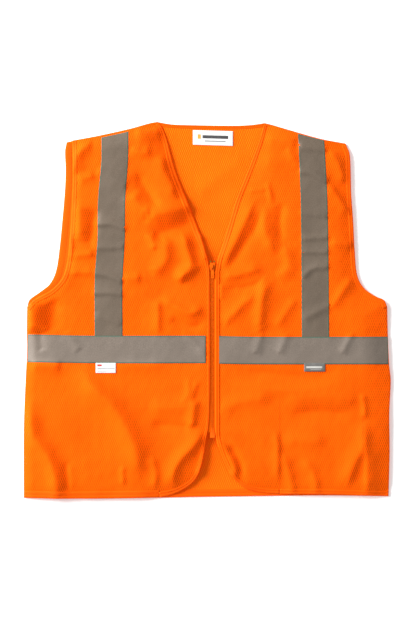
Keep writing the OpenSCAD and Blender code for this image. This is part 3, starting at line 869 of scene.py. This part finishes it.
TAPE_LIFT = 0.6
BACK_TAPE_LIFT = 0.3


def tape(name, nodes, first_edge, second_edge, material, height=front_height, lift=TAPE_LIFT):
    """A reflective tape that stands for the nodes, laid on the cloth between two edges."""
    made = strip(name, first_edge, second_edge, height, lift, material)
    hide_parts(*nodes)
    return made


def even_path(points, count):
    """A smooth path through the points, with count points evenly along it."""
    path = smooth(points)
    along = travelled(path)
    spots = np.linspace(0, along[-1], count)
    return np.column_stack([np.interp(spots, along, path[:, 0]), np.interp(spots, along, path[:, 1])])


waist_low, waist_high = node_box("right_waist_tape_side")
WAIST_FOOT, WAIST_TOP = waist_low[1], waist_high[1]
# The upright tapes end under the waist tape
UPRIGHT_FOOT = WAIST_TOP - 8
WAIST_LIFT = TAPE_LIFT + 0.4
UPRIGHT_ROWS = 125
WAIST_ROWS = 110

right_upright_outer, right_upright_inner, left_upright_inner, left_upright_outer = (
    even_path(points, UPRIGHT_ROWS) for points in (
        [(-207, UPRIGHT_FOOT), (-207, 56), (-202, 130), (-201, 204), (-195, 275), (-195, 319)],
        [(-156, UPRIGHT_FOOT), (-156, 56), (-152, 130), (-151, 204), (-146, 275), (-145, 330)],
        [(175, UPRIGHT_FOOT), (173, 193), (168, 326)],
        [(225, UPRIGHT_FOOT), (222, 193), (216, 314)],
    )
)
right_waist_top, right_waist_foot, left_waist_top, left_waist_foot = (
    even_path(points, WAIST_ROWS) for points in (
        [(-331, -44), (-270, -45.5), (-200, -46.5), (-2.5, -46.5)],
        [(-332, -95), (-200, -97), (-2.5, -97)],
        [(21.5, -47), (90, -48.5), (334, -48.5)],
        [(21.5, -98), (90, -99), (335, -99)],
    )
)
back_waist = [even_path([(-332, y), (334, y)], 2 * WAIST_ROWS) for y in (WAIST_FOOT, WAIST_TOP)]
UPRIGHTS = {
    "right": (right_upright_outer, right_upright_inner), "left": (left_upright_inner, left_upright_outer),
}
WAISTS = {"right": (right_waist_foot, right_waist_top), "left": (left_waist_foot, left_waist_top)}
for side, edges in UPRIGHTS.items():
    hold(tape(side + "_upright_tape", [side + "_vertical_tape_front"], *edges, UPRIGHT_TAPE_SHADED))
for side, edges in WAISTS.items():
    nodes = [side + "_waist_tape_side", side + "_waist_tape_front"]
    hold(tape(side + "_waist_tape", nodes, *edges, WAIST_TAPE_LIT, lift=WAIST_LIFT), side)
BACK_TAPE = under_back, BACK_TAPE_LIFT
for side, edges in UPRIGHTS.items():
    nodes = [side + "_vertical_tape_back"]
    hold(tape(side + "_upright_tape_back", nodes, *edges, UPRIGHT_TAPE_SHADED, *BACK_TAPE))
hold(tape("waist_tape_back_band", ["waist_tape_back"], *back_waist, WAIST_TAPE_LIT, *BACK_TAPE))

# ---- stitching

STITCH_LENGTH = 2.5
STITCH_PITCH = 3.2
STITCH_RADIUS = 0.34
STITCH_DIP = 0.35
STITCH_SIDES = 5
TAPE_MARGIN = 2.0
UPRIGHT_THREAD_LIFT = TAPE_LIFT + 0.1
WAIST_THREAD_LIFT = WAIST_LIFT + 0.05
FRONT_THREAD_LIFT = 0.6
BACK_THREAD_LIFT = 0.45
POCKET_THREAD_LIFT = 0.1
GROOVE = 0.5


def tape_rows(first_edge, second_edge):
    """The two rows of stitches along a tape, a little in from its edges."""
    inward = second_edge - first_edge
    inward /= np.linalg.norm(inward, axis=1)[:, None]
    return [first_edge + inward * TAPE_MARGIN, second_edge - inward * TAPE_MARGIN]


def sewn(name, paths, lift, material=ORANGE_THREAD, height=front_height):
    """Rows of separate stitches, each a short thread that dips into the cloth at both ends."""
    share = np.array([-1.0, -0.7, 0.0, 0.7, 1.0])
    girth = np.array([0.45, 0.9, 1.0, 0.9, 0.45])
    turn = np.arange(STITCH_SIDES) * 2 * math.pi / STITCH_SIDES
    points, faces, flat = [], [], []
    for path in paths:
        along = travelled(path)
        centres = np.arange(STITCH_PITCH / 2, along[-1], STITCH_PITCH)
        spots = centres[:, None] + share * STITCH_LENGTH / 2
        lines = np.column_stack([path, side_normals(path)]).T
        x, y, across_x, across_y = (np.interp(spots, along, line)[..., None] for line in lines)
        z = on_grid(height, x, y) + lift - STITCH_DIP * share[:, None] ** 4
        out = STITCH_RADIUS * girth[:, None] * np.cos(turn)
        up = STITCH_RADIUS * girth[:, None] * np.sin(turn)
        ring = np.stack([x + across_x * out, y + across_y * out, z + up], axis=-1)
        for stitch, middle in zip(ring, centres):
            first = len(points)
            points += stitch.reshape(-1, 3).tolist()
            flat += [(middle, 0)] * len(share) * STITCH_SIDES
            closed = grid_faces(len(share), STITCH_SIDES, first, ring=True)
            closed += cap_faces(len(share), STITCH_SIDES, first)
            faces += [face[::-1] for face in closed]
    return make_object(name, points, faces, flat, material)


upright_rows = [row for edges in UPRIGHTS.values() for row in tape_rows(*edges)]
hold(sewn("upright_tape_stitches", upright_rows, UPRIGHT_THREAD_LIFT, GREY_THREAD))
for side, edges in WAISTS.items():
    rows = tape_rows(*edges)
    hold(sewn(side + "_waist_tape_stitches", rows, WAIST_THREAD_LIFT, GREY_THREAD), side)
for side, (path, way, share) in OPENINGS.items():
    groove = inset(path, way, (EDGE_WIDTH * GROOVE * share)[:, None])
    hold(sewn(side + "_edge_stitches", [groove], FRONT_THREAD_LIFT), side)
for layer, height, lift in (
    ("front", front_height, FRONT_THREAD_LIFT), ("back", back_height, BACK_THREAD_LIFT),
):
    grooves = [
        inset(path, way, width * GROOVE) for name, _, path, way, width, on, _ in BINDINGS
        # The front hides the left back armhole's stitches, so it has none
        if on is height and name != "left_back_armhole"
    ]
    hold(sewn(layer + "_binding_stitches", grooves, lift, height=height))

# ---- pocket

(pocket_right, pocket_foot, _), (pocket_left, pocket_top, _) = node_box("inner_pocket")
POCKET_CORNERS = [
    (pocket_right, pocket_foot), (pocket_left, pocket_foot),
    (pocket_left, pocket_top), (pocket_right, pocket_top),
]
pocket_outline = joined(*map(straight, POCKET_CORNERS, POCKET_CORNERS[1:] + POCKET_CORNERS[:1]))[:-1]
POCKET_GAP = 1.3
POCKET_SAG = 3.2
POCKET_EASE = 35
POCKET_LOWEST = 2.4
POCKET_MARGIN = 1


def pocket_height(x, y):
    """The pocket hangs a little under the front, and is sewn to it along its sides and foot."""
    from_edge = np.minimum(np.minimum(x - pocket_right, pocket_left - x), y - pocket_foot)
    hang = POCKET_GAP + POCKET_SAG * rise(np.maximum(from_edge, 0), POCKET_EASE)
    return above(front_height(x, y) - hang, POCKET_LOWEST)


pocket = sheet("pocket_cloth", pocket_outline, pocket_height, MESH)
hold(pocket)
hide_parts("inner_pocket")
mouth = straight((pocket_right, pocket_top), (pocket_left, pocket_top))
hold(binding("pocket_mouth", ["pocket_mouth_binding"], mouth, -1, 6, pocket_height, lift=0.4))
pocket_rows = [
    straight((x, pocket_top), (x, pocket_foot))
    for x in (pocket_right + POCKET_MARGIN, pocket_left - POCKET_MARGIN)
]
hold(sewn("pocket_stitches", pocket_rows, POCKET_THREAD_LIFT))

# ---- zip

COIL_PITCH = 1.5
COIL_TURN_POINTS = 12
COIL_OFFSET = 1.35
COIL_HALF_WIDTH = 1.6
COIL_HALF_HEIGHT = 0.75
COIL_WIRE = 0.3


def coil(side, start_turn):
    """One half of the zip's chain: a nylon coil pressed flat, whose heads reach past the middle."""
    low, high = node_box(side + "_zip_coil")
    middle = ZIP_X + math.copysign(COIL_OFFSET, (low[0] + high[0]) / 2 - ZIP_X)
    turns = (high[1] - low[1]) / COIL_PITCH
    angle = np.arange(0, turns * 2 * math.pi, 2 * math.pi / COIL_TURN_POINTS)
    path = np.column_stack([
        middle + COIL_HALF_WIDTH * np.cos(angle + start_turn),
        low[1] + angle / (2 * math.pi) * COIL_PITCH,
        (low[2] + high[2]) / 2 + COIL_HALF_HEIGHT * np.sin(angle + start_turn),
    ])
    made = tube(side + "_coil_half", path, COIL_WIRE, COIL)
    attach(made, side + "_front")
    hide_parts(side + "_zip_coil")


def zip_side(side):
    """The woven tape that a coil is sewn to."""
    low, high = node_box(side + "_zip_tape")
    edges = (straight((x, low[1]), (x, high[1])) for x in (low[0], high[0]))
    made = strip(side + "_zip_side", *edges, lambda x, y: 0 * x, high[2], ZIP_TAPE, 9, 0.55)
    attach(made, side + "_front")
    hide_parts(side + "_zip_tape")


coil("right", 0.0)
coil("left", math.pi)
zip_side("right")
zip_side("left")

for node, material, soft_edge in (
    ("right_top_stop", STOP_METAL, 0.25), ("left_top_stop", STOP_METAL, 0.25),
    ("insertion_pin", ZIP_PLASTIC, 0.25), ("retainer_pin", ZIP_PLASTIC, 0.25),
    ("retainer_box", ZIP_PLASTIC, 0.25), ("zip_slider", ZIP_METAL, 0.7), ("zip_pull_tab", ZIP_METAL, 0.25),
):
    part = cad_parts[node]
    part.data.materials.clear()
    part.data.materials.append(material)
    softened = part.modifiers.new("softened_edges", "BEVEL")
    softened.width = soft_edge * MM
    softened.segments = 3
    softened.limit_method = "ANGLE"
    softened.harden_normals = False

# ---- labels

LABEL_STEP = 0.6
LABEL_THICK = 0.4
LABEL_BOW = 0.5
LABEL_BOW_REACH = 4
LABEL_WAVE = 0.15


def label(name, node, body, height, lift, paper, marks, tilt=0.0):
    """A woven label. marks holds (left, foot, right, top, colour) bars as shares of its width and height."""
    low, high = node_box(node)
    middle = (low[:2] + high[:2]) / 2
    size = high[:2] - low[:2]
    columns, rows = (int(round(part / LABEL_STEP)) + 1 for part in size)
    u, v = np.meshgrid(np.linspace(0, 1, columns), np.linspace(0, 1, rows))
    x = middle[0] + (u - 0.5) * size[0]
    y = middle[1] + (v - 0.5) * size[1] + ((u - 0.5) * tilt - 0.5 * abs(tilt)) * size[0]
    edge = np.minimum(np.minimum(u, 1 - u) * size[0], np.minimum(v, 1 - v) * size[1])
    z = on_grid(height, x, y) + lift + LABEL_BOW * rise(edge, LABEL_BOW_REACH)
    z += LABEL_WAVE * np.sin(u * 9 + v * 3)
    points = np.stack([x, y, z], axis=-1)
    flat = np.stack([u * size[0], v * size[1]], axis=-1)
    made = make_object(name, points, grid_faces(rows, columns), flat, LABEL)
    ink = np.ones((rows, columns, 4), np.float32)
    ink[..., :3] = paper
    for left, foot, right, top, colour in marks:
        ink[(u >= left) & (u <= right) & (v >= foot) & (v <= top), :3] = colour
    painted = made.data.attributes.new("print", "FLOAT_COLOR", "POINT")
    painted.data.foreach_set("color", ink.ravel())
    thicken(made, LABEL_THICK)
    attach(made, body)
    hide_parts(node)


INK = (0.03, 0.03, 0.035)
label("neck_label_cloth", "neck_brand_label", "neck_label", back_height, 1.1, (0.82, 0.82, 0.82), [
    (0.12, 0.42, 0.2, 0.72, (0.9, 0.35, 0.03)), (0.24, 0.46, 0.88, 0.68, INK),
    (0.3, 0.24, 0.82, 0.32, (0.25, 0.25, 0.26)),
], tilt=-0.03)
label("right_tab_cloth", "right_tab_label", "right_label", front_height, 1.2, (0.8, 0.8, 0.8), [
    (0.08, 0.66, 0.3, 0.86, (0.6, 0.03, 0.02)), (0.08, 0.36, 0.92, 0.46, (0.35, 0.35, 0.36)),
    (0.08, 0.14, 0.7, 0.22, (0.45, 0.45, 0.46)),
])
label("left_tab_cloth", "left_tab_label", "left_label", front_height, 1.2, (0.13, 0.125, 0.115), [
    (0.1, 0.4, 0.86, 0.62, (0.55, 0.54, 0.5)), (0.3, 0.2, 0.8, 0.26, (0.35, 0.34, 0.32)),
])

# ---- studio

# The floor's half width is in metres, and its gap under the vest in millimetres
FLOOR_HALF = 4
FLOOR_GAP = 0.4
floor_corners = [(x * FLOOR_HALF, y * FLOOR_HALF, 0) for x, y in ((-1, -1), (1, -1), (1, 1), (-1, 1))]
floor_mesh = bpy.data.meshes.new("studio_floor")
floor_mesh.from_pydata(floor_corners, [], [(0, 1, 2, 3)])
floor_mesh.materials.append(card("studio_floor"))
floor = bpy.data.objects.new("studio_floor", floor_mesh)
floor.location.z = -FLOOR_GAP * MM
bpy.context.scene.collection.objects.link(floor)

WORLD_STRENGTH = 0.5
world = bpy.data.worlds.new("studio")
world.use_nodes = True
background = world.node_tree.nodes["Background"]
background.inputs["Color"].default_value = (1, 1, 1, 1)
background.inputs["Strength"].default_value = WORLD_STRENGTH
bpy.context.scene.world = world

# One square light that faces the vest from beyond its right shoulder, in metres and watts
KEY_PLACE = -3.8, 1.75, 2.15
KEY_SIZE = 2.8
KEY_POWER = 560
key_data = bpy.data.lights.new("key_light", "AREA")
key_data.size = KEY_SIZE
key_data.energy = KEY_POWER
key_light = bpy.data.objects.new("key_light", key_data)
key_light.location = KEY_PLACE
key_light.rotation_euler = (-Vector(KEY_PLACE)).to_track_quat("-Z", "Y").to_euler()
bpy.context.scene.collection.objects.link(key_light)

# The camera looks straight down and sees VIEW_HEIGHT from top to foot of the picture, in metres
CAMERA_X, CAMERA_Y, CAMERA_HEIGHT = 0.00185, -0.0028, 4.0
VIEW_HEIGHT = 1.1544
SENSOR = 36
camera_data = bpy.data.cameras.new("camera")
camera_data.sensor_width = SENSOR
camera_data.lens = SENSOR * CAMERA_HEIGHT / VIEW_HEIGHT
camera = bpy.data.objects.new("camera", camera_data)
camera.location = (CAMERA_X, CAMERA_Y, CAMERA_HEIGHT)
bpy.context.scene.collection.objects.link(camera)
bpy.context.scene.camera = camera
bpy.context.scene.view_settings.view_transform = "Standard"
